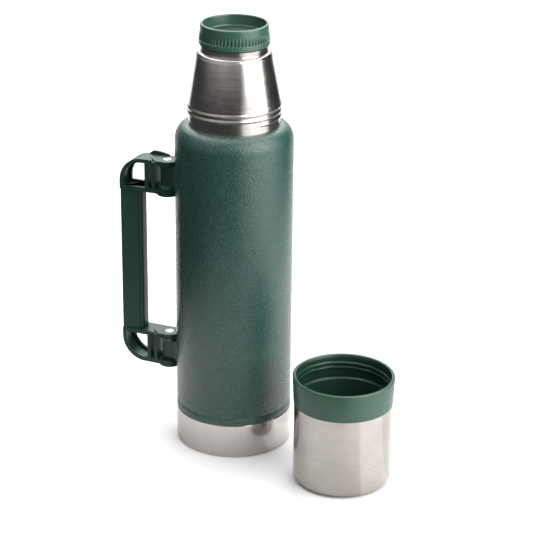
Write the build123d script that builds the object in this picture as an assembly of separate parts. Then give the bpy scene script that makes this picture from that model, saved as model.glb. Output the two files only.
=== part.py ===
from build123d import *
import os

# Vacuum flask with a fold-out handle, a screw stopper and a separate drinking cup.
# Millimetres, +Z up. The origin is the middle of the flask's foot, on the flask's axis.
# The handle stands out along -X. The cup stands on the same table, beside the flask.

# Driving dimensions: flask body
BODY_R = 50.0           # outside of the green shell and of the steel base band
WALL = 0.5              # sheet steel
BAND_TOP = 30.2         # top edge of the steel base band
SHOULDER_Z = 274.3      # where the straight wall ends
NECK_Z = 288.3          # joint between the green shoulder and the steel neck
NECK_R = 38.4           # neck radius at that joint

# Driving dimensions: neck
CORE_R = 38.1           # under the cup thread
THREAD_R = 39.2         # crest of the cup thread
THREAD_ZS = (296.0, 300.5, 305.0)
CONE_Z = 307.0          # where the neck starts to narrow
CONE_TOP_Z = 345.5
CONE_TOP_R = 31.6
THROAT_R = 28.2
THROAT_Z = 350.2
LIP_Z = 355.6

# Driving dimensions: inner vessel
VESSEL_R = 42.0
VESSEL_BOTTOM = 14.0
VESSEL_SHOULDER = 262.0
MOUTH_R = 25.5          # bore that the stopper goes down

# Driving dimensions: stopper
CAP_TOP = 373.6
CAP_BOTTOM = 356.0
CAP_R = 28.4            # at the rim
CAP_SKIRT_R = 29.6      # at the bottom flange
PLUG_R = 24.6
PLUG_BOTTOM = 325.0

# Driving dimensions: handle, measured from its pin, out along -X
PIN_X = -62.27
PIN_R = 3.3
HINGE_TOPS = (247.0, 86.8)    # top face of the upper and of the lower hinge
HINGE_H = 29.4                # height of one hinge frame
REACH = 41.6                  # pin to the outside of the grip
HALF_W = 9.3                  # half of the handle's width
GRIP_IN = 22.3                # pin to the inside of the grip
GRIP_HALF_IN = 5.5            # half of the grip's width at its inside
PLATE = 3.5                   # arms and outer wall
CORNER_R = 21.5
EAR_R = 9.5
EAR_T = 4.5                     # upper ear, flush with the arm
LOW_ARM = 3.9                   # lower arm of each hinge frame
LOW_EAR = (-1.9, 3.8)           # lower ear, from the underside of the lower arm
RUNNING = 0.05                # radial clearance of the pins in the handle
GAP = 0.3                     # between pieces that move past each other

# Driving dimensions: cup
CUP_X, CUP_Y = 117.2, -38.6
CUP_H = 95.6
CUP_RIM_R = 42.8
CUP_RIM_WALL = 3.0
CUP_SHELL_R = 41.2
COLLAR_Z = 71.3
COLLAR_LOW_R = 41.7
CUP_FLOOR = 10.2
CUP_CORNER = 6.0
CUP_THREAD_ZS = (86.8, 82.8)


def arc(cx, cz, rx, rz, start, size=90):
    """Part of an ellipse in the profile plane: where it starts and how far it goes, in degrees."""
    return EllipticalCenterArc((cx, cz), rx, rz, start_angle=start, arc_size=size)


def turned(*edges):
    """Solid of revolution about +Z from a closed profile of (radius, height) edges."""
    face = make_face(Curve() + [*edges])
    return revolve(Plane.XZ * face, Axis.Z)


def lathe(*points):
    """Solid of revolution from the corners of a straight-sided profile."""
    return turned(Polyline(*points, close=True))


def ring(r_in, r_out, z0, z1):
    return lathe((r_in, z0), (r_out, z0), (r_out, z1), (r_in, z1))


def block(x0, x1, y0, y1, z0, z1):
    """Box between six coordinates."""
    return Pos((x0 + x1) / 2, (y0 + y1) / 2, (z0 + z1) / 2) * Box(x1 - x0, y1 - y0, z1 - z0)


def post(radius, z0, z1, x=PIN_X, y=0.0):
    return Pos(x, y, (z0 + z1) / 2) * Cylinder(radius, z1 - z0)


# Flask body -----------------------------------------------------------------------------

def shoulder(inset):
    """Edge of the rounded shoulder, from the wall up to the neck, set in by a distance."""
    return arc(NECK_R - inset, SHOULDER_Z, BODY_R - NECK_R, NECK_Z - SHOULDER_Z - inset, 0)


def outer_shell():
    """Green painted wall with the rounded shoulder, open below and at the neck."""
    r_in = BODY_R - WALL
    foot = Polyline((r_in, BAND_TOP), (BODY_R, BAND_TOP), (BODY_R, SHOULDER_Z))
    top = Line((NECK_R, NECK_Z), (NECK_R - WALL, NECK_Z - WALL))
    wall = Line((r_in, SHOULDER_Z), (r_in, BAND_TOP))
    return turned(foot, shoulder(0.0), top, shoulder(WALL), wall)


def base_cup():
    """Bare steel band round the foot, closed below by a bottom that is set up inside it."""
    r_in = BODY_R - WALL
    foot_r, foot_w, sole_z = 0.8, 4.4, 3.6
    foot_in = BODY_R - foot_r - foot_w
    outside = Line((BODY_R, foot_r), (BODY_R, BAND_TOP))
    inside = Polyline((BODY_R, BAND_TOP), (r_in, BAND_TOP), (r_in, sole_z + WALL), (0, sole_z + WALL),
                      (0, sole_z), (foot_in, sole_z), (foot_in, 0), (BODY_R - foot_r, 0))
    corner = arc(BODY_R - foot_r, foot_r, foot_r, foot_r, 270)
    return turned(corner, outside, inside)


def vacuum_seal_disc():
    """Cap over the evacuation port in the middle of the bottom."""
    return lathe((0, 1.8), (11.0, 1.8), (12.0, 2.6), (12.0, 3.6), (0, 3.6))


def inner_vessel():
    """Seamless inner bottle, from its domed bottom up to the mouth where it meets the neck."""
    bottom_r, dome = 9.0, 14.0
    r_out, mouth = VESSEL_R + WALL, MOUTH_R + 1.3
    low, high = VESSEL_BOTTOM, VESSEL_SHOULDER
    outside = [
        Line((0, low), (r_out - bottom_r, low)),
        arc(r_out - bottom_r, low + bottom_r, bottom_r, bottom_r, 270),
        Line((r_out, low + bottom_r), (r_out, high)),
        arc(mouth, high, r_out - mouth, dome, 0),
        Line((mouth, high + dome), (mouth, LIP_Z)),
    ]
    inside = [
        Polyline((mouth, LIP_Z), (MOUTH_R, LIP_Z), (MOUTH_R, high + dome - WALL)),
        arc(MOUTH_R, high, VESSEL_R - MOUTH_R, dome - WALL, 0),
        Line((VESSEL_R, high), (VESSEL_R, low + bottom_r)),
        arc(VESSEL_R - bottom_r + WALL, low + bottom_r, bottom_r - WALL, bottom_r - WALL, 270),
        Polyline((VESSEL_R - bottom_r + WALL, low + WALL), (0, low + WALL), (0, low)),
    ]
    return turned(*outside, *inside)


def getter():
    """Pill that keeps the vacuum, in its holder under the inner vessel."""
    return lathe((0, VESSEL_BOTTOM - 4.0), (5.0, VESSEL_BOTTOM - 4.0), (6.5, VESSEL_BOTTOM), (0, VESSEL_BOTTOM))


def neck_shell():
    """Polished neck: cup thread, long cone, rounded top, throat and lip.

    The thread is three plain ridges here.
    """
    wall, ridge = 0.8, 1.5
    round_r = THROAT_Z - CONE_TOP_Z
    outside = [(NECK_R, NECK_Z), (NECK_R, NECK_Z + 1.2), (CORE_R, NECK_Z + 3.0)]
    for z in THREAD_ZS:
        outside += [(CORE_R, z - ridge), (THREAD_R, z - 0.4), (THREAD_R, z + 0.4), (CORE_R, z + ridge)]
    outside += [(CORE_R, CONE_Z), (CONE_TOP_R, CONE_TOP_Z)]
    top_r = CONE_TOP_R - round_r * 0.72
    throat = [(top_r, THROAT_Z), (THROAT_R, THROAT_Z), (THROAT_R, LIP_Z), (THROAT_R - 1.4, LIP_Z)]
    inside = [(THROAT_R - 1.4, THROAT_Z - wall), (top_r - wall, THROAT_Z - wall),
              (CONE_TOP_R - wall, CONE_TOP_Z - wall), (CORE_R - wall, CONE_Z), (CORE_R - wall, NECK_Z),
              (NECK_R, NECK_Z)]
    return turned(
        Polyline(*outside),
        arc(top_r, CONE_TOP_Z, CONE_TOP_R - top_r, round_r, 0),
        Polyline(*throat, *inside),
    )


# Handle brackets, pins and detents -------------------------------------------------------

CLEVIS = [(top - HINGE_H + LOW_EAR[1], top - EAR_T) for top in HINGE_TOPS]    # free height between ears
KNUCKLE_H = 17.0
KNUCKLE_HALF = 5.0
SADDLE_T = 1.2
SADDLE_HALF = 11.0
SADDLE_TALL = 27.0
SLEEVE_T = 0.8
# The knuckle hangs at the top of the upper hinge and sits at the bottom of the lower one,
# and the detent washer fills the space that is left.
INSET = GAP + SLEEVE_T
KNUCKLES = [(CLEVIS[0][1] - INSET - KNUCKLE_H, CLEVIS[0][1] - INSET),
            (CLEVIS[1][0] + INSET, CLEVIS[1][0] + INSET + KNUCKLE_H)]
WASHER_R = 6.2
SLEEVE_OUT = 54.4       # how far out from the flask's axis the sleeve reaches


def knuckle(z0, z1):
    """Moulded block that carries the pin, its root held in the saddle's sleeve."""
    nose = 2.0
    root = -(BODY_R + SADDLE_T + 0.4)
    body = block(PIN_X - 5.0, root, -KNUCKLE_HALF, KNUCKLE_HALF, z0, z1)
    body = fillet(body.edges().filter_by(Axis.Z).group_by(Axis.X)[0], nose)
    return body - post(PIN_R, z0 - 1, z1 + 1)


def saddle(z0, z1):
    """Steel plate welded on the flask's wall, with a square sleeve round the knuckle's root."""
    half = KNUCKLE_HALF + SLEEVE_T
    mid = (z0 + z1) / 2
    plate = ring(BODY_R, BODY_R + SADDLE_T, mid - SADDLE_TALL / 2, mid + SADDLE_TALL / 2)
    plate &= block(-60, -30, -SADDLE_HALF, SADDLE_HALF, mid - SADDLE_TALL, mid + SADDLE_TALL)
    sleeve = block(-SLEEVE_OUT, -48, -half, half, z0, z1)
    sleeve -= block(-60, -40, -KNUCKLE_HALF, KNUCKLE_HALF, z0 + SLEEVE_T, z1 - SLEEVE_T)
    sleeve -= post(BODY_R, z0 - 1, z1 + 1, x=0)
    return plate + sleeve


def pin(top):
    """Plain polished pin, flush with the ears above and below."""
    return post(PIN_R, top - HINGE_H + LOW_EAR[0], top)


def detent(z0, z1):
    """Click washer on the pin, with two claws that drop into notches as the handle opens."""
    washer = post(WASHER_R, z0, z1) - post(PIN_R + RUNNING, z0 - 1, z1 + 1)
    for angle in (-160, -100):
        claw = Pos(5.6, 0, 0) * Box(3.4, 2.4, z1 - z0)
        washer += Pos(PIN_X, 0, (z0 + z1) / 2) * Rot(0, 0, angle) * claw
    return washer


# Handle ---------------------------------------------------------------------------------

RIB_AT = (7.9, 14.4)
RIB_T = 3.2
COVER_T = 3.0
FIN_H, FIN_T, FIN_END = 3.2, 2.0, 21.0


def hinge_frame(top, corner_up):
    """Open box at one end of the handle: two arms, an outer wall, two ribs and two ears."""
    low = top - HINGE_H
    side = Rectangle(REACH, HINGE_H)
    void = Rectangle(REACH, HINGE_H - LOW_ARM - PLATE)
    far = side.vertices().sort_by(Axis.X)[0:2]
    rounded = sorted(far, key=lambda v: v.Y)[1 if corner_up else 0]
    side = Pos(PIN_X - REACH / 2, (top + low) / 2) * fillet(rounded, CORNER_R)
    far = void.vertices().sort_by(Axis.X)[0:2]
    rounded = sorted(far, key=lambda v: v.Y)[1 if corner_up else 0]
    void_mid = (top - PLATE + low + LOW_ARM) / 2
    void = Pos(PIN_X - REACH / 2 + PLATE, void_mid) * fillet(rounded, CORNER_R - PLATE)
    frame = extrude(Plane.XZ * (side - void), HALF_W, both=True)
    for u in RIB_AT:
        frame += block(PIN_X - u - RIB_T, PIN_X - u, -HALF_W, HALF_W, low + 3.0, top - 3.0)
    ears = [(top - EAR_T, top), (low + LOW_EAR[0], low + LOW_EAR[1])]
    for z0, z1 in ears:
        frame += post(EAR_R, z0, z1)
    return frame - post(PIN_R + RUNNING, low - 3, top + 1)


def grip_section(inset=0.0):
    """Plan of the grip: wide and flat outside, narrower and rounded towards the flask."""
    outer, inner = PIN_X - REACH + inset, PIN_X - GRIP_IN - inset
    plan = Polyline((outer, -HALF_W + inset), (inner, -GRIP_HALF_IN + inset),
                    (inner, GRIP_HALF_IN - inset), (outer, HALF_W - inset), close=True)
    face = make_face(plan)
    corners = face.vertices().sort_by(Axis.X)
    face = fillet(corners[2:4], max(4.0 - inset, 0.8))
    return fillet(face.vertices().sort_by(Axis.X)[0:2], max(1.6 - inset, 0.4))


def fin(top):
    """Low curved rib along the far edge of the upper arm."""
    start, end = PIN_X - 1.7, PIN_X - FIN_END
    outline = Curve() + [
        Polyline((end, top), (start, top), (start, top + 0.6 * FIN_H)),
        Spline((start, top + 0.6 * FIN_H), (PIN_X - 11, top + FIN_H), (end + 4, top + 0.8 * FIN_H), (end, top)),
    ]
    return Pos(0, HALF_W, 0) * extrude(Plane.XZ * make_face(outline), FIN_T)


def handle_frame():
    """One moulding: a hinge frame at each end and the hollow grip between them."""
    upper, lower = HINGE_TOPS
    z0, z1 = lower, upper - HINGE_H
    hollow = grip_section(PLATE)
    grip = grip_section() - hollow
    # the side towards the flask is left open for the cover
    open_side = Pos(PIN_X - GRIP_IN, 0) * Rectangle(2 * (COVER_T + GAP), 40)
    grip = extrude(Pos(0, 0, z0) * (grip - open_side), z1 - z0)
    frame = hinge_frame(upper, True) + hinge_frame(lower, False) + grip
    return frame + fin(upper)


def grip_cover():
    """Strip that closes the grip on the flask's side."""
    upper, lower = HINGE_TOPS
    z0, z1 = lower + GAP, upper - HINGE_H - GAP
    strip = grip_section() & (Pos(PIN_X - GRIP_IN, 0) * Rectangle(2 * COVER_T, 40))
    return extrude(Pos(0, 0, z0) * strip, z1 - z0)


# Stopper --------------------------------------------------------------------------------

RIBS = 60
CAP_WALL = 2.6
RECESS_FLOOR = 363.8
PLUG_THREAD_ZS = (346.5, 352.0)


def stopper_cap():
    """Open-topped grip of the stopper, ribbed round its lower two thirds."""
    rim_r, flange_h, web = CAP_WALL / 2, 3.2, 2.0
    floor_r = CAP_R - CAP_WALL
    profile = [
        Polyline((PLUG_R, CAP_BOTTOM), (CAP_SKIRT_R - 1.2, CAP_BOTTOM)),
        arc(CAP_SKIRT_R - 1.2, CAP_BOTTOM + 1.4, 1.2, 1.4, 270),
        Polyline((CAP_SKIRT_R, CAP_BOTTOM + 1.4), (CAP_SKIRT_R, CAP_BOTTOM + flange_h),
                 (CAP_R, CAP_TOP - rim_r)),
        arc(CAP_R - rim_r, CAP_TOP - rim_r, rim_r, rim_r, 0, 180),
        Polyline((floor_r, CAP_TOP - rim_r), (floor_r, RECESS_FLOOR), (0, RECESS_FLOOR),
                 (0, RECESS_FLOOR - web), (PLUG_R, RECESS_FLOOR - web), (PLUG_R, CAP_BOTTOM)),
    ]
    cap = turned(*profile)
    slot_h = CAP_TOP - CAP_BOTTOM - flange_h - 4.0
    slot = Pos(CAP_SKIRT_R + 0.2, 0, CAP_BOTTOM + flange_h + slot_h / 2) * Box(2.0, 1.3, slot_h)
    return cap - [Rot(0, 0, 360 / RIBS * i) * slot for i in range(RIBS)]


def stopper_plug():
    """Barrel that goes down the mouth, with two plain thread ridges and a seal groove."""
    wall, top = 2.2, RECESS_FLOOR - 2.0
    core = PLUG_R - 0.9
    points = [(PLUG_R - wall, top), (PLUG_R - wall, PLUG_BOTTOM + 2.0), (core, PLUG_BOTTOM + 2.0)]
    for z in PLUG_THREAD_ZS:
        points += [(core, z - 1.5), (PLUG_R + 0.4, z - 0.5), (PLUG_R + 0.4, z + 0.5), (core, z + 1.5)]
    points += [(core, CAP_BOTTOM - 0.2), (PLUG_R, CAP_BOTTOM - 0.2), (PLUG_R, top)]
    return lathe(*points)


def stopper_core():
    """Foam block that fills the hollow barrel."""
    return lathe((0, PLUG_BOTTOM + 2.0), (PLUG_R - 2.3, PLUG_BOTTOM + 2.0),
                 (PLUG_R - 2.3, RECESS_FLOOR - 2.1), (0, RECESS_FLOOR - 2.1))


def stopper_end():
    """Disc that closes the barrel below."""
    return lathe((0, PLUG_BOTTOM - 2.0), (PLUG_R - 3.0, PLUG_BOTTOM - 2.0), (PLUG_R - 1.2, PLUG_BOTTOM),
                 (PLUG_R - 1.2, PLUG_BOTTOM + 2.0), (0, PLUG_BOTTOM + 2.0))


def stopper_seal():
    """Soft ring round the barrel's lower end."""
    r_in, r_out = PLUG_R - 0.6, MOUTH_R - GAP
    z0 = PLUG_BOTTOM + 4.0
    return lathe((r_in, z0), (r_out - 0.3, z0), (r_out, z0 + 0.8), (r_out - 0.3, z0 + 1.6),
                 (r_out, z0 + 2.4), (r_out - 0.3, z0 + 3.2), (r_in, z0 + 3.2))


# Cup ------------------------------------------------------------------------------------

def cup_shell():
    """Steel outside of the cup, its top edge hidden inside the collar."""
    top, r_in, c = COLLAR_Z + 4.0, CUP_SHELL_R - WALL, CUP_CORNER
    return Pos(CUP_X, CUP_Y, 0) * turned(
        Line((0, 0), (CUP_SHELL_R - c, 0)),
        arc(CUP_SHELL_R - c, c, c, c, 270),
        Polyline((CUP_SHELL_R, c), (CUP_SHELL_R, top), (r_in, top), (r_in, c)),
        arc(CUP_SHELL_R - c, c, c - WALL, c - WALL, 270),
        Polyline((CUP_SHELL_R - c, WALL), (0, WALL), (0, 0)),
    )


def cup_liner():
    """Moulded inside and collar in one, with the thread that fits the flask's neck."""
    mouth = CUP_RIM_R - CUP_RIM_WALL
    shell_in, slot_top = CUP_SHELL_R - WALL, COLLAR_Z + 4.1
    rim, corner, wall = CUP_RIM_WALL / 2, 9.0, 1.8
    liner_r = 37.6
    inside = [(mouth, CUP_H - rim)]
    for z in CUP_THREAD_ZS:
        inside += [(mouth, z + 1.2), (mouth - 1.1, z + 0.3), (mouth - 1.1, z - 0.3), (mouth, z - 1.2)]
    inside += [(mouth, 74.2), (liner_r + 0.4, 73.2), (liner_r, CUP_FLOOR + corner)]
    outer_r = liner_r + wall
    return Pos(CUP_X, CUP_Y, 0) * turned(
        Polyline((outer_r, CUP_FLOOR + corner), (outer_r, 68.0), (shell_in - 0.05, 70.0),
                 (shell_in - 0.05, slot_top), (CUP_SHELL_R + 0.05, slot_top), (CUP_SHELL_R + 0.05, COLLAR_Z),
                 (COLLAR_LOW_R, COLLAR_Z), (CUP_RIM_R, CUP_H - rim)),
        arc(CUP_RIM_R - rim, CUP_H - rim, rim, rim, 0, 180),
        Polyline(*inside),
        arc(liner_r - corner, CUP_FLOOR + corner, corner, corner, 270),
        Polyline((liner_r - corner, CUP_FLOOR), (0, CUP_FLOOR), (0, CUP_FLOOR - wall),
                 (liner_r - corner, CUP_FLOOR - wall)),
        arc(liner_r - corner, CUP_FLOOR + corner, corner + wall, corner + wall, 270),
    )


def cup_spacer():
    """Foam disc that holds the liner's floor off the steel."""
    return post(20.0, WALL, CUP_FLOOR - 1.8, CUP_X, CUP_Y)


nodes = {
    "outer_shell": outer_shell(),
    "base_cup": base_cup(),
    "vacuum_seal_disc": vacuum_seal_disc(),
    "inner_vessel": inner_vessel(),
    "getter": getter(),
    "neck_shell": neck_shell(),
    "handle_frame": handle_frame(),
    "grip_cover": grip_cover(),
    "stopper_cap": stopper_cap(),
    "stopper_plug": stopper_plug(),
    "stopper_core": stopper_core(),
    "stopper_end": stopper_end(),
    "stopper_seal": stopper_seal(),
    "cup_shell": cup_shell(),
    "cup_liner": cup_liner(),
    "cup_spacer": cup_spacer(),
}
washers = [(CLEVIS[0][0] + 0.1, KNUCKLES[0][0] - GAP), (KNUCKLES[1][1] + GAP, CLEVIS[1][1] - 0.1)]
for place, top, (z0, z1), free, (d0, d1) in zip(("upper", "lower"), HINGE_TOPS, KNUCKLES, CLEVIS, washers):
    nodes[f"{place}_knuckle"] = knuckle(z0, z1)
    nodes[f"{place}_saddle"] = saddle(z0 - SLEEVE_T, z1 + SLEEVE_T)
    nodes[f"{place}_pin"] = pin(top)
    nodes[f"{place}_detent"] = detent(d0, d1)

os.makedirs("parts", exist_ok=True)
for name, shape in nodes.items():
    export_step(shape, f"parts/{name}.step")
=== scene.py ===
from math import atan2, cos, hypot, pi, radians, sin, tau

import bmesh
import bpy
from mathutils import Matrix, Vector


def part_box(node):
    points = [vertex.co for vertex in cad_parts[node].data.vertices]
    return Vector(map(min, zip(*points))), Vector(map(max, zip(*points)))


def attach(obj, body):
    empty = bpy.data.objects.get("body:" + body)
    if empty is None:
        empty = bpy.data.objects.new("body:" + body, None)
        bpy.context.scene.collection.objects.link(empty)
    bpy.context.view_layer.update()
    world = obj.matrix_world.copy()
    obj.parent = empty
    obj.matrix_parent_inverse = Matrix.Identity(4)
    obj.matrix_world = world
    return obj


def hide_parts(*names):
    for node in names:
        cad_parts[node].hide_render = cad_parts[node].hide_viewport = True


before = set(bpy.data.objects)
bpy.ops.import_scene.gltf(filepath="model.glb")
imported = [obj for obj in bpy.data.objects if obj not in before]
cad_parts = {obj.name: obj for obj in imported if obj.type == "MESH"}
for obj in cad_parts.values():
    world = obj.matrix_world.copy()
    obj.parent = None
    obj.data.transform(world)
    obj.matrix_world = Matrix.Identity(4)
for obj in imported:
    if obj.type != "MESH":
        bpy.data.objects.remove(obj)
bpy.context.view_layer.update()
mm = 0.001
scene = bpy.context.scene

# The view. A long lens looks down on the flask from the front, a little to the cup's side
# of the handle, from about a metre and a half away.
eye_turn = radians(23.9)        # from straight in front, round towards the cup
eye_distance = 1.4946
eye_height = 0.7724
aim_right = radians(1.35)
aim_down = radians(22.58)
tilt = radians(0.62)
focal_length, sensor_width = 123.179, 36.0
lens = bpy.data.cameras.new("view")
lens.sensor_width = sensor_width
lens.lens = focal_length
lens.clip_end = 50
camera = bpy.data.objects.new("view", lens)
scene.collection.objects.link(camera)
heading = Matrix.Rotation(eye_turn - aim_right, 4, "Z")
pitch = Matrix.Rotation(pi / 2 - aim_down, 4, "X")
place = Vector((sin(eye_turn), -cos(eye_turn), 0)) * eye_distance + Vector((0, 0, eye_height))
camera.matrix_world = Matrix.Translation(place) @ heading @ pitch @ Matrix.Rotation(tilt, 4, "Z")
scene.camera = camera
scene.view_settings.view_transform = "Standard"
scene.view_settings.look = "None"

# The table and the studio. White paper runs under and behind the flask, a wide soft light stands
# at the right, two more hang overhead and behind, and the room is bright only at the back. Grey
# cards and black flags on the paper shape what the paint and the steel reflect.


class Value:
    """A number that changes over a surface, with the arithmetic that the finishes need."""

    def __init__(self, finish, socket):
        self.finish = finish
        self.socket = socket

    def math(self, operation, *others):
        inputs = dict(enumerate((self,) + others))
        return self.finish.node("Math", {"operation": operation}, inputs)

    def __add__(self, other):
        return self.math("ADD", other)

    def __mul__(self, other):
        return self.math("MULTIPLY", other)

    def __sub__(self, other):
        return self.math("SUBTRACT", other)

    def __rsub__(self, other):
        return self.finish.node("Math", {"operation": "SUBTRACT"}, {0: other, 1: self})

    __radd__ = __add__
    __rmul__ = __mul__


class Nodes:
    """A node tree, and short ways to add nodes to it."""

    def __init__(self, tree, coordinates):
        self.tree = tree
        self.place = self.node("TexCoord", {}, {}, coordinates)

    def node(self, kind, settings, inputs, output=0):
        made = self.tree.nodes.new("ShaderNode" + kind)
        for key, value in settings.items():
            if key == "stops":
                ramp = made.color_ramp.elements
                for spot, (position, colour) in enumerate(value):
                    element = ramp[spot] if spot < 2 else ramp.new(position)
                    element.position = position
                    element.color = colour
            else:
                setattr(made, key, value)
        for key, value in inputs.items():
            if isinstance(value, Value):
                self.tree.links.new(value.socket, made.inputs[key])
            else:
                made.inputs[key].default_value = value
        return Value(self, made.outputs[output])

    def scaled(self, x, y, z):
        """The place on the object, stretched by a factor along each axis."""
        return self.node("Mapping", {}, {"Vector": self.place, "Scale": (x, y, z)})

    def noise(self, scale, detail=2.0, place=None, rough=0.5):
        inputs = {"Vector": place or self.place, "Scale": scale, "Detail": detail, "Roughness": rough}
        return self.node("TexNoise", {}, inputs)

    def ramp(self, value, *stops):
        return self.node("ValToRGB", {"stops": stops}, {"Fac": value})

    def blend(self, amount, one, other):
        """Colour between two colours."""
        inputs = {"Factor": amount, 6: one, 7: other}
        return self.node("Mix", {"data_type": "RGBA"}, inputs, 2)

    def bump(self, height, distance, strength=1.0):
        return self.node("Bump", {}, {"Height": height, "Distance": distance, "Strength": strength})


class Finish(Nodes):
    """One material: a Principled shader and the nodes that feed it."""

    def __init__(self, name, **constants):
        self.material = bpy.data.materials.new(name)
        self.material.use_nodes = True
        super().__init__(self.material.node_tree, "Object")
        self.surface = self.tree.nodes["Principled BSDF"]
        for socket, value in constants.items():
            self.set(socket.replace("_", " "), value)

    def set(self, socket, value):
        if isinstance(value, Value):
            self.tree.links.new(value.socket, self.surface.inputs[socket])
        else:
            self.surface.inputs[socket].default_value = value


paper = Finish("paper", Roughness=0.9)
paper.set("Base Color", paper.blend(paper.noise(3.0), (0.725, 0.725, 0.73, 1), (0.745, 0.745, 0.75, 1)))
grey = Finish("grey card", Roughness=0.9)
grey.set("Base Color", grey.blend(grey.noise(3.0), (0.585, 0.585, 0.59, 1), (0.60, 0.60, 0.605, 1)))
black = Finish("black flag", Roughness=0.9)
black.set("Base Color", black.blend(black.noise(3.0), (0.012, 0.012, 0.012, 1), (0.016, 0.016, 0.016, 1)))


def sheet_of(name, outline, height, finish):
    """Flat sheet from points given as how far right and how far towards the camera they are."""
    mesh = bmesh.new()
    right, near = Vector((cos(eye_turn), sin(eye_turn), 0)), Vector((sin(eye_turn), -cos(eye_turn), 0))
    mesh.faces.new([mesh.verts.new(right * x + near * y + Vector((0, 0, height))) for x, y in outline])
    bmesh.ops.recalc_face_normals(mesh, faces=mesh.faces)
    data = bpy.data.meshes.new(name)
    mesh.to_mesh(data)
    mesh.free()
    data.materials.append(finish.material)
    flat = bpy.data.objects.new(name, data)
    scene.collection.objects.link(flat)
    return flat


sheet_of("floor", [(-8, -8), (8, -8), (8, 8), (-8, 8)], 0.0, paper)
card_h, flag_h = 1 * mm, 2 * mm
for name, outline, height, finish in (
        ("front card", [(-0.19, -0.28), (0.0, 0.0), (0.117, 0.133), (2.83, 4.0), (-0.19, 4.0)], card_h, grey),
        ("side card", [(0.06, -0.03), (0.135, 0.09), (0.42, 0.06), (0.42, -0.6), (0.25, -0.5)], card_h, grey),
        ("left flag", [(-0.19, -0.28), (-0.19, 0.26), (0.10, 0.28), (2.6, 7.5), (-7.5, 7.5), (-7.5, -7.1),
                       (-4.8, -7.1)], flag_h, black),
        ("right flag", [(0.42, -0.6), (5.0, -7.9), (7.9, -7.9), (7.9, 0.0), (0.42, 0.0)], flag_h, black)):
    flag = sheet_of(name, outline, height, finish)
    flag.visible_camera = False
    flag.visible_shadow = False
    if flag.data.polygons[0].normal.z < 0:
        flag.data.flip_normals()
for finish in (grey, black):
    # Only their upper sides count, so the paper below stays evenly lit.
    nodes, links = finish.tree.nodes, finish.tree.links
    mix = nodes.new("ShaderNodeMixShader")
    links.new(nodes.new("ShaderNodeNewGeometry").outputs["Backfacing"], mix.inputs[0])
    links.new(finish.surface.outputs[0], mix.inputs[1])
    links.new(nodes.new("ShaderNodeBsdfTransparent").outputs[0], mix.inputs[2])
    links.new(mix.outputs[0], nodes["Material Output"].inputs["Surface"])


def soft_light(name, turn, distance, height, width, tall, brightness, aim, colour=(1, 1, 1)):
    """Rectangular light, placed by its angle round the flask from the camera's side."""
    data = bpy.data.lights.new(name, "AREA")
    data.shape = "RECTANGLE"
    data.size = width
    data.size_y = tall
    data.energy = brightness * pi * width * tall
    data.color = colour
    light = bpy.data.objects.new(name, data)
    scene.collection.objects.link(light)
    light.visible_camera = False
    angle = eye_turn + radians(turn)
    spot = Vector((sin(angle) * distance, -cos(angle) * distance, height))
    look = (Vector((0, 0, aim)) - spot).to_track_quat("-Z", "Y")
    light.matrix_world = Matrix.Translation(spot) @ look.to_matrix().to_4x4()


soft_light("wide light", 56, 1.45, 1.05, 1.85, 1.9, 5.2, 0.5, (1.0, 0.985, 0.96))
soft_light("overhead light", 180, 0.55, 1.65, 2.3, 1.7, 4.1, 0.0)
soft_light("rear light", 180, 2.4, 1.8, 2.4, 1.4, 3.0, 0.0)
world = bpy.data.worlds.new("room")
world.use_nodes = True
room = Nodes(world.node_tree, "Generated")
around = room.node("Mapping", {}, {"Vector": room.place, "Rotation": (0, 0, radians(90) - eye_turn)})
sweep = room.node("TexGradient", {"gradient_type": "RADIAL"}, {"Vector": around}, "Fac")
brightness = [(-180, 1.3), (-156, 1.0), (-146, 0.06), (-115, 0.24), (-70, 0.60), (-35, 0.80), (-8, 0.50),
              (20, 0.42), (92, 0.12), (100, 0.05), (144, 0.05), (154, 1.0), (180, 1.3)]
walls = room.ramp(sweep, *[(turn / 360 + 0.5, (level, level, level * 1.01, 1)) for turn, level in brightness])
world.node_tree.links.new(walls.socket, world.node_tree.nodes["Background"].inputs["Color"])
scene.world = world

# The painted wall: drawn steel with a rolled line just above the bare band and a wide rounded
# shoulder, covered in a glossy hammered green enamel.
shell_low, shell_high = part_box("outer_shell")
body_r = shell_high.x
band_top = shell_low.z
neck_joint = shell_high.z
neck_r = 38.4 * mm
sheet = 0.6 * mm
shoulder_h = 14.0 * mm
rolled_line = band_top + 6.5 * mm
turns = 240


def arc(centre, radii, start, end, steps=8):
    """Points along part of an ellipse, with its angles in degrees."""
    angles = [radians(start + (end - start) * i / steps) for i in range(steps + 1)]
    return [(centre[0] + radii[0] * cos(a), centre[1] + radii[1] * sin(a)) for a in angles]


def corner(r, z, bend, start):
    """A quarter-round corner of an outline, by the point where its edges would meet."""
    quadrant = radians(start + 45)
    centre = (r - bend * (1 if cos(quadrant) > 0 else -1), z - bend * (1 if sin(quadrant) > 0 else -1))
    return arc(centre, (bend, bend), start, start + 90, 5)


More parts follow.
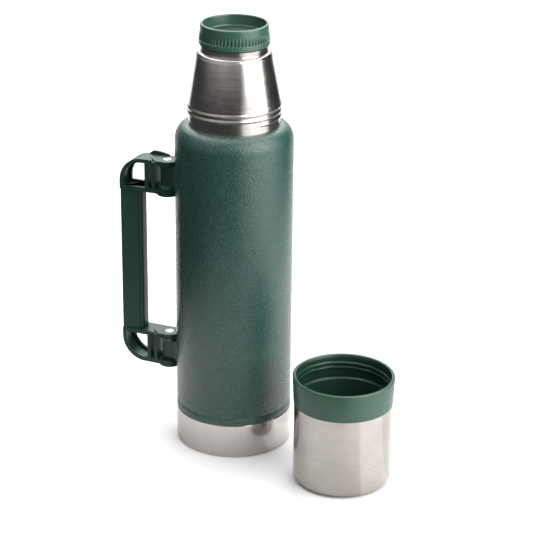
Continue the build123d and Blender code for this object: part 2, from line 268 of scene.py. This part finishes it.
def turned(name, outline, finish, body, replaced, middle=(0, 0), shape=None, steps=turns):
    """Piece of revolution about an upright axis, from a closed outline of (radius, height)."""
    mesh = bmesh.new()
    points = [mesh.verts.new((r, 0, z)) for r, z in outline]
    for a, b in zip(points, points[1:] + points[:1]):
        if a.co.x > 0 or b.co.x > 0:
            mesh.edges.new((a, b))
    bmesh.ops.spin(mesh, geom=mesh.verts[:] + mesh.edges[:], axis=(0, 0, 1), cent=(0, 0, 0),
                   steps=steps, angle=tau, use_merge=True)
    bmesh.ops.remove_doubles(mesh, verts=mesh.verts, dist=1e-6)
    if shape:
        for v in mesh.verts:
            v.co = shape(v.co)
    bmesh.ops.recalc_face_normals(mesh, faces=mesh.faces)
    bmesh.ops.translate(mesh, verts=mesh.verts, vec=(middle[0], middle[1], 0))
    return finished(name, mesh, finish, body, replaced)


def finished(name, mesh, finish, body, replaced, crease=32):
    """Turns a bmesh into a piece that rides on its body and stands for its CAD nodes."""
    data = bpy.data.meshes.new(name)
    mesh.to_mesh(data)
    mesh.free()
    data.shade_smooth()
    data.set_sharp_from_angle(angle=radians(crease))
    data.materials.append(finish.material)
    piece = bpy.data.objects.new(name, data)
    scene.collection.objects.link(piece)
    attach(piece, body)
    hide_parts(*replaced)
    return piece


enamel = Finish("hammered green enamel")
pebbles = enamel.node("TexVoronoi", {"feature": "SMOOTH_F1"},
                      {"Vector": enamel.place, "Scale": 900.0, "Smoothness": 0.2, "Randomness": 1.0},
                      "Distance")
grain = enamel.noise(1100.0, 0.0)
cloud = enamel.noise(60.0, 2.0)
enamel.set("Base Color", enamel.blend(
    enamel.ramp(grain * 0.9 + cloud * 0.1, (0.34, (0, 0, 0, 1)), (0.66, (1, 1, 1, 1))),
    (0.022, 0.076, 0.061, 1), (0.008, 0.036, 0.030, 1)))
enamel.set("Roughness", 0.16 + grain * 0.20)
enamel.set("Specular IOR Level", 0.62)
enamel.set("Normal", enamel.bump(pebbles + grain * 0.7, 0.00023, 1.0))

shoulder = arc((neck_r, neck_joint - shoulder_h), (body_r - neck_r, shoulder_h), 0, 90, 20)
inner_shoulder = arc((neck_r - sheet, neck_joint - shoulder_h), (body_r - neck_r, shoulder_h - sheet),
                     90, 0, 16)
line_w, line_d = 0.55 * mm, 0.34 * mm
turned("painted_shell", [
    (body_r - sheet, band_top), *corner(body_r, band_top + 0.25 * mm, 0.5 * mm, 270),
    (body_r, rolled_line - line_w), (body_r - line_d, rolled_line), (body_r, rolled_line + line_w),
    *shoulder, *inner_shoulder,
], enamel, "flask", ["outer_shell"])

# The foot band: a bare steel cup brushed round its axis, with a rounded foot, pressed over the
# lower end of the wall and closed underneath by a bottom set up inside the foot.
foot_bend = 0.7 * mm
foot_width = 3.0 * mm
sole = 3.6 * mm


def brushed(name, colour, roughness, streak, depth):
    """Steel brushed round an upright axis: long streaks round the piece, fine across it."""
    steel = Finish(name, Metallic=1.0)
    fine = steel.noise(1.0, 3.0, steel.scaled(26, 26, 2600), 0.7)
    broad = steel.noise(1.0, 3.0, steel.scaled(16, 16, 780), 0.65)
    smear = steel.noise(55.0, 3.0)
    steel.set("Base Color", steel.blend(
        steel.ramp(fine * 0.35 + broad * 0.3 + smear * 0.35, (0.38, (0, 0, 0, 1)), (0.62, (1, 1, 1, 1))),
        tuple(c * (1 - streak) for c in colour) + (1,), colour + (1,)))
    steel.set("Roughness", roughness + (fine - 0.5) * 0.20 + (smear - 0.5) * 0.10)
    steel.set("Normal", steel.bump(fine * 0.6 + broad * 0.4, depth, 0.6))
    return steel


band_steel = brushed("brushed band steel", (0.56, 0.525, 0.50), 0.17, 0.14, 0.00004)
turned("foot_band", [
    (0, sole), (body_r - foot_bend - foot_width, sole), (body_r - foot_bend - foot_width, 0.4 * mm),
    (body_r - foot_bend - foot_width + 0.4 * mm, 0), *corner(body_r, 0, foot_bend, 270),
    *corner(body_r, band_top - 0.35 * mm, 0.3 * mm, 0), (body_r - 0.7 * mm, band_top - 0.35 * mm),
    (body_r - 0.7 * mm, band_top - 0.02 * mm), (body_r - sheet - 0.5 * mm, band_top - 0.02 * mm),
    (body_r - sheet - 0.5 * mm, sole + sheet), (0, sole + sheet),
], band_steel, "flask", ["base_cup"])

# The neck: polished steel, turned to a fine grain. A thread for the cup is rolled into its foot,
# and its long cone ends in a rounded top under a narrow throat.
neck_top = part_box("neck_shell")[1].z
core_r, crest = 38.35 * mm, 1.0 * mm
throat_r = 28.2 * mm
throat_z = 350.0 * mm
cone_foot, cone_top, cone_top_r = 307.0 * mm, 345.2 * mm, 31.8 * mm
lip_wall, cone_wall = 1.4 * mm, 1.2 * mm
cone_bend = 3.2 * mm
thread_foot = neck_joint + 3.0 * mm
lead = 4.7 * mm
thread_start = 295.6 * mm       # crest height where the ridge begins
thread_angle = radians(-42.1)
thread_turns = 2.55
ridge_half = 1.8 * mm


def smooth(t):
    t = min(max(t, 0.0), 1.0)
    return t * t * (3 - 2 * t)


def rolled_thread(co):
    """Raises a right-handed ridge that fades in and out at its ends."""
    r = hypot(co.x, co.y)
    if r < core_r - 0.6 * mm or not neck_joint + 2 * mm < co.z < cone_foot + 3 * mm:
        return co
    turn = (atan2(co.y, co.x) - thread_angle) / tau % 1.0
    rise = 0.0
    for lap in range(4):
        along = turn + lap
        if along < thread_turns:
            off = abs(co.z - (thread_start + lead * along)) / ridge_half
            ends = smooth(along / 0.06) * smooth((thread_turns - along) / 0.12)
            if off < 1:
                rise = max(rise, ends * (0.5 + 0.5 * cos(pi * off)) ** 0.8)
    scale = (r + crest * rise) / r
    return Vector((co.x * scale, co.y * scale, co.z))


rows = 64
wall_rows = [(core_r, thread_foot + (cone_foot - thread_foot) * i / rows) for i in range(rows + 1)]
neck_steel = brushed("polished neck steel", (0.54, 0.51, 0.485), 0.20, 0.26, 0.00009)
turned("neck", [
    (neck_r, neck_joint), (neck_r, neck_joint + 1.0 * mm), (neck_r - 0.1 * mm, neck_joint + 1.8 * mm),
    *wall_rows,
    *arc((cone_top_r - cone_bend, cone_top), (cone_bend, throat_z - cone_top), 8, 90, 12),
    (throat_r + 0.5 * mm, throat_z), (throat_r + 0.1 * mm, throat_z + 0.2 * mm),
    (throat_r, throat_z + 0.6 * mm), (throat_r, neck_top - 0.4 * mm), (throat_r - 0.4 * mm, neck_top),
    (throat_r - lip_wall, neck_top), (throat_r - lip_wall, throat_z - cone_wall),
    (cone_top_r - cone_bend, throat_z - cone_wall), (cone_top_r - cone_wall, cone_top - cone_wall),
    (core_r - cone_wall, cone_foot), (core_r - cone_wall, neck_joint),
], neck_steel, "flask", ["neck_shell"], shape=rolled_thread, steps=288)

# The inside of the flask: the inner bottle, the cap over the port and the getter are plain
# satin steel, seen only when the stopper is out or from below.
satin_steel = brushed("satin steel", (0.62, 0.615, 0.60), 0.38, 0.12, 0.00005)


def finish_node(name, finish):
    """Gives a CAD node that is shown as it is its finish."""
    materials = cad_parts[name].data.materials
    materials.clear()
    materials.append(finish.material)


for name in ("inner_vessel", "vacuum_seal_disc", "getter"):
    finish_node(name, satin_steel)

# The stopper: a green cap, open at the top over a matt floor that a dark pad darkens as painted
# shade, with fine flutes round its side that deepen downwards and stop at a plain flange. The plug,
# its core and its seal sit below.
cap_low, cap_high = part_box("stopper_cap")
flange_r = cap_high.x
rim_r = flange_r - 1.2 * mm
wall = 2.4 * mm
recess_floor = cap_high.z - 9.8 * mm
flange_h = 4.4 * mm
hollow_r, hollow_h = 24.6 * mm, 5.4 * mm     # room for the plug, underneath
rim_bend, floor_bend = wall / 2, 1.6 * mm
pad_gap, pad_t = 0.9 * mm, 0.3 * mm
flutes = 60
flute_depth = 1.15 * mm
flute_top = cap_high.z - 4.6 * mm
flute_foot = cap_low.z + flange_h + 0.35 * mm
per_flute = 8


def fluted(co):
    """Sinks the flutes into the outside of the cap."""
    r = hypot(co.x, co.y)
    if r < rim_r - 0.8 * mm or not flute_foot - 0.05 * mm < co.z < flute_top:
        return co
    phase = atan2(co.y, co.x) / tau * flutes % 1.0
    across = abs(phase - 0.5) * 2
    down = (flute_top - co.z) / (flute_top - flute_foot)
    depth = flute_depth * smooth((across - 0.40) / 0.26) * smooth(down * 1.4) * (0.4 + 0.6 * down)
    scale = (r - depth) / r
    return Vector((co.x * scale, co.y * scale, co.z))


def moulded(name, colour, shade, roughness, grain=2600.0, depth=0.00003, coat=0.0):
    """Moulded plastic: two close shades and a fine grain in the surface."""
    plastic = Finish(name, Coat_Weight=coat, Coat_Roughness=0.2)
    speck = plastic.noise(grain, 2.0)
    flow = plastic.noise(60.0, 3.0)
    mask = plastic.ramp(flow * 0.6 + speck * 0.4, (0.35, (0, 0, 0, 1)), (0.65, (1, 1, 1, 1)))
    plastic.set("Base Color", plastic.blend(mask, shade + (1,), colour + (1,)))
    plastic.set("Roughness", roughness + (flow - 0.5) * 0.12)
    plastic.set("Normal", plastic.bump(speck * 0.8 + flow * 0.2, depth, 0.5))
    return plastic


cap_plastic = moulded("green cap plastic", (0.032, 0.092, 0.058), (0.028, 0.082, 0.051), 0.30, coat=0.25)
# A darker, matt green for the pad on the recess floor: painted shade for the deep recess.
recess_shade_plastic = moulded("matt recess plastic darkened as painted shade", (0.014, 0.046, 0.030), (0.011, 0.038, 0.024), 0.70,
                         900.0, 0.00008)
recess_shade_plastic.set("Specular IOR Level", 0.15)
skirt_z = cap_low.z + flange_h
side_rows = 14
side = [(flange_r - 0.45 * mm + (rim_r - flange_r + 0.45 * mm) * i / side_rows,
         flute_foot + (flute_top + 0.6 * mm - flute_foot) * i / side_rows) for i in range(side_rows + 1)]
turned("cap", [
    (0, cap_low.z + hollow_h), (hollow_r, cap_low.z + hollow_h), (hollow_r, cap_low.z),
    *corner(flange_r, cap_low.z, 1.2 * mm, 270), *corner(flange_r, skirt_z, 0.3 * mm, 0),
    *side, *corner(rim_r, cap_high.z, rim_bend, 0), *corner(rim_r - wall, cap_high.z, -rim_bend, 270)[::-1],
    *arc((rim_r - wall - floor_bend, recess_floor + floor_bend), (floor_bend, floor_bend), 0, -90, 6),
    (0, recess_floor),
], cap_plastic, "stopper", ["stopper_cap"], shape=fluted, steps=flutes * per_flute)
pad_r = rim_r - wall - pad_gap
# Thin dark pad laid on the recess floor: a sheet of painted shade, not a real part of the cap.
turned("cap_recess_shade_pad", [
    (0, recess_floor + 0.02 * mm), (pad_r, recess_floor + 0.02 * mm),
    *corner(pad_r, recess_floor + pad_t, pad_t / 2, 0), (0, recess_floor + pad_t),
], recess_shade_plastic, "stopper", ["stopper_cap"], steps=96)

for name, colour in (("stopper_plug", (0.07, 0.18, 0.125)), ("stopper_end", (0.07, 0.18, 0.125)),
                     ("stopper_core", (0.7, 0.7, 0.64)), ("stopper_seal", (0.62, 0.62, 0.58))):
    shade = tuple(c * 0.85 for c in colour)
    finish_node(name, moulded(name + " plastic", colour, shade, 0.45))

# The handle: one green moulding with a box-shaped hinge end above and below and a hollow grip
# between them, its edges eased, its faces in a fine satin.
pin_low, pin_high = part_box("upper_pin")
pin_x = (pin_low.x + pin_high.x) / 2
half_w = 9.3 * mm
reach = pin_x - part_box("handle_frame")[0].x
hinge_tops = (pin_high.z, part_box("lower_pin")[1].z)
hinge_h = 29.4 * mm
plate = 3.5 * mm
low_arm = 3.9 * mm
ribs = (7.9 * mm, 14.4 * mm)
rib = 3.2 * mm
outer_bend = 21.5 * mm
ear_r, pin_hole_r = 9.5 * mm, 3.35 * mm
ear_drop = 1.9 * mm             # how far the lower ear stands below its arm
knuckle_gap = 3.4 * mm
groove, lip = 2.4 * mm, 2.3 * mm      # hollowed inner faces behind a lip on each side


def slab(mesh, u0, u1, z0, z1, half):
    """Box of a bmesh, measured out from the pin along the handle."""
    made = bmesh.ops.create_cube(mesh, size=1)["verts"]
    bmesh.ops.scale(mesh, verts=made, vec=(u1 - u0, 2 * half, z1 - z0))
    bmesh.ops.translate(mesh, verts=made, vec=(pin_x - (u0 + u1) / 2, 0, (z0 + z1) / 2))
    return made


def bend_corner(mesh, verts, up, bend):
    """Rounds a box's outer edge, the top one or the bottom one."""
    far = min(v.co.x for v in verts)
    end = (max if up else min)(v.co.z for v in verts)
    edge = [e for e in mesh.edges
            if all(abs(v.co.x - far) < 1e-6 and abs(v.co.z - end) < 1e-6 for v in e.verts)]
    bmesh.ops.bevel(mesh, geom=edge, offset=bend, affect="EDGES", segments=14, profile=0.5, material=-1,
                    offset_type="OFFSET")


def cut_or_join(piece, mesh, operation):
    """Applies one Boolean step to a piece."""
    data = bpy.data.meshes.new("tool")
    mesh.to_mesh(data)
    mesh.free()
    tool = bpy.data.objects.new("tool", data)
    scene.collection.objects.link(tool)
    step = piece.modifiers.new("step", "BOOLEAN")
    step.operation = operation
    step.solver = "EXACT"
    step.object = tool
    bpy.context.view_layer.update()
    made = bpy.data.meshes.new_from_object(piece.evaluated_get(bpy.context.evaluated_depsgraph_get()))
    piece.modifiers.clear()
    piece.data = made
    bpy.data.objects.remove(tool)


def disc(mesh, radius, z0, z1, sides=72):
    """Upright disc of a bmesh, round the hinge pin."""
    made = bmesh.ops.create_cone(mesh, cap_ends=True, segments=sides, radius1=radius, radius2=radius,
                                 depth=z1 - z0)["verts"]
    bmesh.ops.translate(mesh, verts=made, vec=(pin_x, 0, (z0 + z1) / 2))
    return made


def extruded(mesh, by):
    """Gives a bmesh's flat face a thickness."""
    grown = bmesh.ops.extrude_face_region(mesh, geom=mesh.faces[:])["geom"]
    bmesh.ops.translate(mesh, verts=[v for v in grown if isinstance(v, bmesh.types.BMVert)], vec=by)
    bmesh.ops.recalc_face_normals(mesh, faces=mesh.faces)


handle_plastic = moulded("green handle plastic", (0.014, 0.048, 0.039), (0.012, 0.041, 0.034), 0.42,
                         1800.0, 0.00005)
handle_plastic.set("Specular IOR Level", 0.35)


def hinge_end(name, top, up):
    """One box-shaped end: an outer wall, two arms, two ribs and an ear above and below."""
    foot = top - hinge_h
    mesh = bmesh.new()
    block = slab(mesh, knuckle_gap, reach, foot, top, half_w)
    bend_corner(mesh, block, up, outer_bend)
    data = bpy.data.meshes.new(name)
    mesh.to_mesh(data)
    mesh.free()
    piece = bpy.data.objects.new(name, data)
    scene.collection.objects.link(piece)
    spans = [(-20 * mm, ribs[0]), (ribs[0] + rib, ribs[1]), (ribs[1] + rib, reach - plate)]
    for inner, outer in spans:
        mesh = bmesh.new()
        void = slab(mesh, inner, outer, foot + low_arm, top - plate, 2 * half_w)
        if outer == reach - plate:
            bend_corner(mesh, void, up, outer_bend - plate)
        cut_or_join(piece, mesh, "DIFFERENCE")
    mesh = bmesh.new()
    slab(mesh, ribs[0] + rib, ribs[1], foot + low_arm - groove, top - plate + groove, half_w - lip)
    cut_or_join(piece, mesh, "DIFFERENCE")
    mesh = bmesh.new()
    channel = slab(mesh, ribs[1] + rib, reach - plate + groove, foot + low_arm - groove, top - plate + groove,
                   half_w - lip)
    bend_corner(mesh, channel, up, outer_bend - plate + groove)
    cut_or_join(piece, mesh, "DIFFERENCE")
    if up:
        mesh = bmesh.new()
        crestline = ((20.8, -0.5), (20.2, 0.5), (18.8, 1.9), (17.0, 2.8), (15.0, 3.15), (12.5, 3.1), (9.0, 2.7),
                     (5.0, 2.0), (1.7, 1.3), (1.7, -0.5))
        mesh.faces.new([mesh.verts.new((pin_x - u * mm, half_w, top + rise * mm))
                        for u, rise in crestline])
        extruded(mesh, (0, -2.0 * mm, 0))
        cut_or_join(piece, mesh, "UNION")
    mesh = bmesh.new()
    notch = ((6.8, -10), (9.8, -10), (14.4, -1.6))
    mesh.faces.new([mesh.verts.new((pin_x - u * mm, y * mm, top + 1 * mm)) for u, y in notch])
    extruded(mesh, (0, 0, -2.4 * mm))
    cut_or_join(piece, mesh, "DIFFERENCE")
    for z0, z1 in ((top - 4.5 * mm, top + 0.12 * mm), (foot - ear_drop, foot + low_arm - 0.1 * mm)):
        mesh = bmesh.new()
        disc(mesh, ear_r, z0, z1)
        cut_or_join(piece, mesh, "UNION")
    mesh = bmesh.new()
    disc(mesh, pin_hole_r, foot - 5 * mm, top + 5 * mm, 48)
    cut_or_join(piece, mesh, "DIFFERENCE")
    return piece


upper_end = hinge_end("handle_upper_end", hinge_tops[0], True)
lower_end = hinge_end("handle_lower_end", hinge_tops[1], False)
for end in (upper_end, lower_end):
    end.data.materials.clear()
    end.data.materials.append(handle_plastic.material)
    end.data.shade_smooth()
    end.data.set_sharp_from_angle(angle=radians(40))
    ease = end.modifiers.new("eased edges", "BEVEL")
    ease.width = 0.45 * mm
    ease.segments = 2
    ease.limit_method = "ANGLE"
    ease.angle_limit = radians(40)
    ease.harden_normals = True
    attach(end, "handle")
    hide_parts("handle_frame")

grip_in, grip_half_in = 22.3 * mm, 5.5 * mm
cover_t = 3.0 * mm
grip_low, grip_high = hinge_tops[1], hinge_tops[0] - hinge_h


def grip_length(name, inner, outer, half_inner, half_outer, bends, finish, replaced, z0, z1):
    """Straight length of the grip with a four-sided plan and rounded corners."""
    mesh = bmesh.new()
    plan = [(pin_x - outer, -half_outer), (pin_x - inner, -half_inner), (pin_x - inner, half_inner),
            (pin_x - outer, half_outer)]
    verts = [mesh.verts.new((x, y, z0)) for x, y in plan]
    mesh.faces.new(verts)
    for bend, pair in zip(bends, ((verts[0], verts[3]), (verts[1], verts[2]))):
        bmesh.ops.bevel(mesh, geom=list(pair), offset=bend, affect="VERTICES", segments=8, profile=0.5,
                        material=-1)
    extruded(mesh, (0, 0, z1 - z0))
    return finished(name, mesh, finish, "handle", replaced)


def half_at(u):
    """Half of the grip's width at a distance out from the pin."""
    return grip_half_in + (half_w - grip_half_in) * (u - grip_in) / (reach - grip_in)


seam = grip_in + cover_t
grip_length("handle_grip", seam + 0.3 * mm, reach, half_at(seam), half_w, (1.8 * mm, 0.3 * mm),
            handle_plastic, ["handle_frame"], grip_low, grip_high)
grip_length("grip_strip", grip_in, seam, grip_half_in, half_at(seam), (0.3 * mm, 2.6 * mm),
            handle_plastic, ["grip_cover"], grip_low + 0.2 * mm, grip_high - 0.2 * mm)

# The hinges: moulded knuckles held in steel saddles on the wall, polished pins flush with the
# ears, and small green click washers.
knuckle_plastic = moulded("dark knuckle plastic", (0.012, 0.041, 0.035), (0.010, 0.034, 0.030), 0.34)
washer_plastic = moulded("green washer plastic", (0.085, 0.23, 0.17), (0.065, 0.18, 0.135), 0.33)
pin_steel = Finish("polished pin", Metallic=1.0, Base_Color=(0.92, 0.92, 0.92, 1))
pin_steel.set("Roughness", pin_steel.noise(700.0, 2.0) * 0.12 + 0.06)
for place in ("upper", "lower"):
    for part, finish in (("knuckle", knuckle_plastic), ("detent", washer_plastic), ("saddle", enamel),
                         ("pin", pin_steel)):
        finish_node(f"{place}_{part}", finish)

# The cup: a brushed steel outside with a rounded foot, and a green moulding that lines it and
# turns out over its edge as a collar. Its inside is painted a darker green as painted shade, it has a
# coarse thread in the mouth, and a foam spacer fills the gap under its floor.
cup_low, cup_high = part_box("cup_shell")
liner_low, liner_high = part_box("cup_liner")
cup_middle = ((cup_low.x + cup_high.x) / 2, (cup_low.y + cup_high.y) / 2)
cup_r = (cup_high.x - cup_low.x) / 2
lip_r = (liner_high.x - liner_low.x) / 2
lip_z = liner_high.z
collar_z = 71.3 * mm
collar_low_r = lip_r - 1.1 * mm
lip_w, lip_bend = 3.0 * mm, 1.1 * mm
lining_t = 1.8 * mm
cup_bend = 6.0 * mm
liner_r, liner_bend = 37.6 * mm, 9.0 * mm
liner_floor = 10.2 * mm
mouth_r = lip_r - lip_w

cup_steel = brushed("brushed cup steel", (0.475, 0.442, 0.413), 0.18, 0.18, 0.00004)
turned("cup_outside", [
    (0, 0), (cup_r - cup_bend, 0), *arc((cup_r - cup_bend, cup_bend), (cup_bend, cup_bend), -90, 0, 10),
    (cup_r, cup_high.z), (cup_r - sheet, cup_high.z), (cup_r - sheet, cup_bend),
    *arc((cup_r - cup_bend, cup_bend), (cup_bend - sheet, cup_bend - sheet), 0, -90, 8), (0, sheet),
], cup_steel, "cup", ["cup_shell"], middle=cup_middle)

cup_thread_z, cup_lead, cup_ridge, cup_crest = 80.6 * mm, 4.2 * mm, 1.5 * mm, 1.1 * mm
cup_turns = 2.1
mouth_foot, mouth_head = 74.8 * mm, 93 * mm


def inner_thread(co):
    """Raises the coarse ridge inside the cup's mouth."""
    r = hypot(co.x, co.y)
    if r > mouth_r + 0.2 * mm or co.z < 76 * mm or co.z > 92 * mm:
        return co
    turn = (atan2(co.y, co.x) + 2.2) / tau % 1.0
    rise = 0.0
    for lap in range(3):
        along = turn + lap
        if along < cup_turns:
            off = abs(co.z - (cup_thread_z + cup_lead * along)) / cup_ridge
            ends = smooth(along / 0.05) * smooth((cup_turns - along) / 0.05)
            if off < 1:
                rise = max(rise, ends * smooth((1 - off) * 1.6))
    scale = (r - cup_crest * rise) / r
    return Vector((co.x * scale, co.y * scale, co.z))


liner_plastic = moulded("green liner plastic", (0.024, 0.074, 0.050), (0.021, 0.066, 0.045), 0.34)
flow = liner_plastic.noise(60.0, 3.0)
on_plan = liner_plastic.node("Mapping", {}, {"Vector": liner_plastic.place, "Scale": (1, 1, 0),
                                             "Location": (-cup_middle[0], -cup_middle[1], 0)})
from_axis = liner_plastic.node("VectorMath", {"operation": "LENGTH"}, {"Vector": on_plan}, "Value")
# Inside the mouth's radius the green is painted darker: painted shade for the deep inside of the cup.
liner_plastic.set("Base Color", liner_plastic.blend(
    (from_axis - mouth_r) * 1200.0,
    liner_plastic.ramp(flow, (0.35, (0.006, 0.026, 0.017, 1)), (0.65, (0.008, 0.032, 0.021, 1))),
    liner_plastic.ramp(flow, (0.35, (0.021, 0.066, 0.045, 1)), (0.65, (0.024, 0.074, 0.050, 1)))))
mouth_steps = 60
mouth_rows = [(mouth_r, mouth_head - (mouth_head - mouth_foot) * i / mouth_steps)
              for i in range(mouth_steps + 1)]
turned("cup_lining", [
    (liner_r + lining_t, liner_floor + liner_bend), (liner_r + lining_t, 68 * mm), (cup_r - sheet, 70 * mm),
    (cup_r - sheet, cup_high.z + 0.1 * mm), (cup_r + 0.02 * mm, cup_high.z + 0.1 * mm),
    (cup_r + 0.02 * mm, collar_z), *corner(collar_low_r, collar_z, 0.3 * mm, 270),
    *corner(lip_r, lip_z, lip_bend, 0), *corner(mouth_r, lip_z, -lip_bend, 270)[::-1], *mouth_rows,
    (liner_r + 0.5 * mm, 73.6 * mm), (liner_r + 0.2 * mm, 72.8 * mm), (liner_r, liner_floor + liner_bend),
    *arc((liner_r - liner_bend, liner_floor + liner_bend), (liner_bend, liner_bend), 0, -90, 10),
    (0, liner_floor), (0, liner_floor - lining_t),
    *arc((liner_r - liner_bend, liner_floor + liner_bend), (liner_bend + lining_t, liner_bend + lining_t),
         -90, 0, 10),
], liner_plastic, "cup", ["cup_liner"], middle=cup_middle, shape=inner_thread)
finish_node("cup_spacer", moulded("spacer foam", (0.7, 0.7, 0.64), (0.6, 0.6, 0.55), 0.7))
